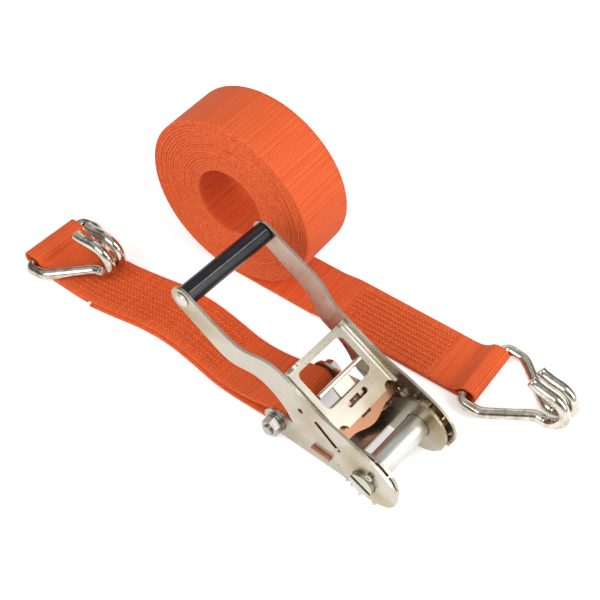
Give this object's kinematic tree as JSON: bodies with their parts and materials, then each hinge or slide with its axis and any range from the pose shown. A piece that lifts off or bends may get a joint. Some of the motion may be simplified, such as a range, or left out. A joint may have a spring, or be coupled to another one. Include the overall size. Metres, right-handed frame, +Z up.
{
  "type": "ratchet tie down",
  "caption": "Hand ratchet on a short webbing strap with a claw hook, beside a long rolled strap with a matching claw hook, for lashing loads.",
  "frame": {"origin": "middle of the footprint, on the surface that everything lies on", "axes": "+X along the ratchet from the short strap to the spindle, +Y across the ratchet towards the long strap, +Z up"},
  "size_m": [0.4226, 0.1874, 0.146],
  "materials": {
    "zinc_steel": "zinc plated, warm tint",
    "bright_zinc": "bright zinc",
    "hook_steel": "polished zinc",
    "spring_steel": "drawn wire",
    "grip_plastic": "satin black",
    "webbing": "woven orange webbing"
  },
  "bodies": {
    "frame": {"base_frame": "zinc_steel", "anchor_bolt": "bright_zinc", "anchor_nut": "bright_zinc", "anchor_sleeve": "bright_zinc", "washer_near": "bright_zinc", "washer_far": "bright_zinc", "lock_pawl_spring": "spring_steel"},
    "lock_pawl": {"lock_pawl": "zinc_steel"},
    "handle": {"handle_frame": "zinc_steel", "grip_rod": "bright_zinc", "grip_sleeve": "grip_plastic", "feed_pawl_spring": "spring_steel"},
    "feed_pawl": {"feed_pawl": "zinc_steel"},
    "spindle": {"spindle_half_upper": "bright_zinc", "spindle_half_lower": "bright_zinc", "ratchet_wheel_near": "zinc_steel", "ratchet_wheel_far": "zinc_steel", "split_pin_near": "bright_zinc", "split_pin_far": "bright_zinc"},
    "fixed_strap": {"fixed_strap": "webbing"},
    "fixed_hook": {"fixed_hook": "hook_steel"},
    "long_strap": {"long_strap_roll": "webbing", "long_strap_tail": "webbing"},
    "long_hook": {"long_hook": "hook_steel"}
  },
  "joints": [
    {"name": "handle_pivot", "type": "hinge", "parent": "frame", "child": "handle", "pos_m": [0.13457, -0.04814, 0.026], "axis": [0, 1, 0], "range_deg": [0, 150]},
    {"name": "spindle_turn", "type": "hinge", "parent": "frame", "child": "spindle", "pos_m": [0.13457, -0.04814, 0.026], "axis": [0, 1, 0], "continuous": true},
    {"name": "feed_pawl_slide", "type": "slide", "parent": "handle", "child": "feed_pawl", "axis": [-0.8211, 0, 0.5707], "range_m": [0, 0.006], "stiffness_N_per_m": 400, "springref_m": -0.005, "deforming": ["feed_pawl_spring"]},
    {"name": "lock_pawl_slide", "type": "slide", "parent": "frame", "child": "lock_pawl", "axis": [-1, 0, 0], "range_m": [0, 0.006], "stiffness_N_per_m": 400, "springref_m": -0.005, "deforming": ["lock_pawl_spring"]},
    {"name": "fixed_strap_swing", "type": "hinge", "parent": "frame", "child": "fixed_strap", "pos_m": [0.05257, -0.04814, 0.013], "axis": [0, 1, 0], "range_deg": [-90, 45]},
    {"name": "fixed_hook_swing", "type": "hinge", "parent": "fixed_strap", "child": "fixed_hook", "pos_m": [-0.20143, -0.05874, 0.0069], "axis": [0.0872, -0.9962, 0], "range_deg": [0, 170]},
    {"name": "long_strap_slide", "type": "slide", "parent": "frame", "child": "long_strap", "axis": [0, 1, 0], "range_m": [0, 0.2]},
    {"name": "long_hook_swing", "type": "hinge", "parent": "long_strap", "child": "long_hook", "pos_m": [0.13704, 0.05793, 0.0069], "axis": [0.0175, -0.9998, 0], "range_deg": [-60, 140]}
  ]
}
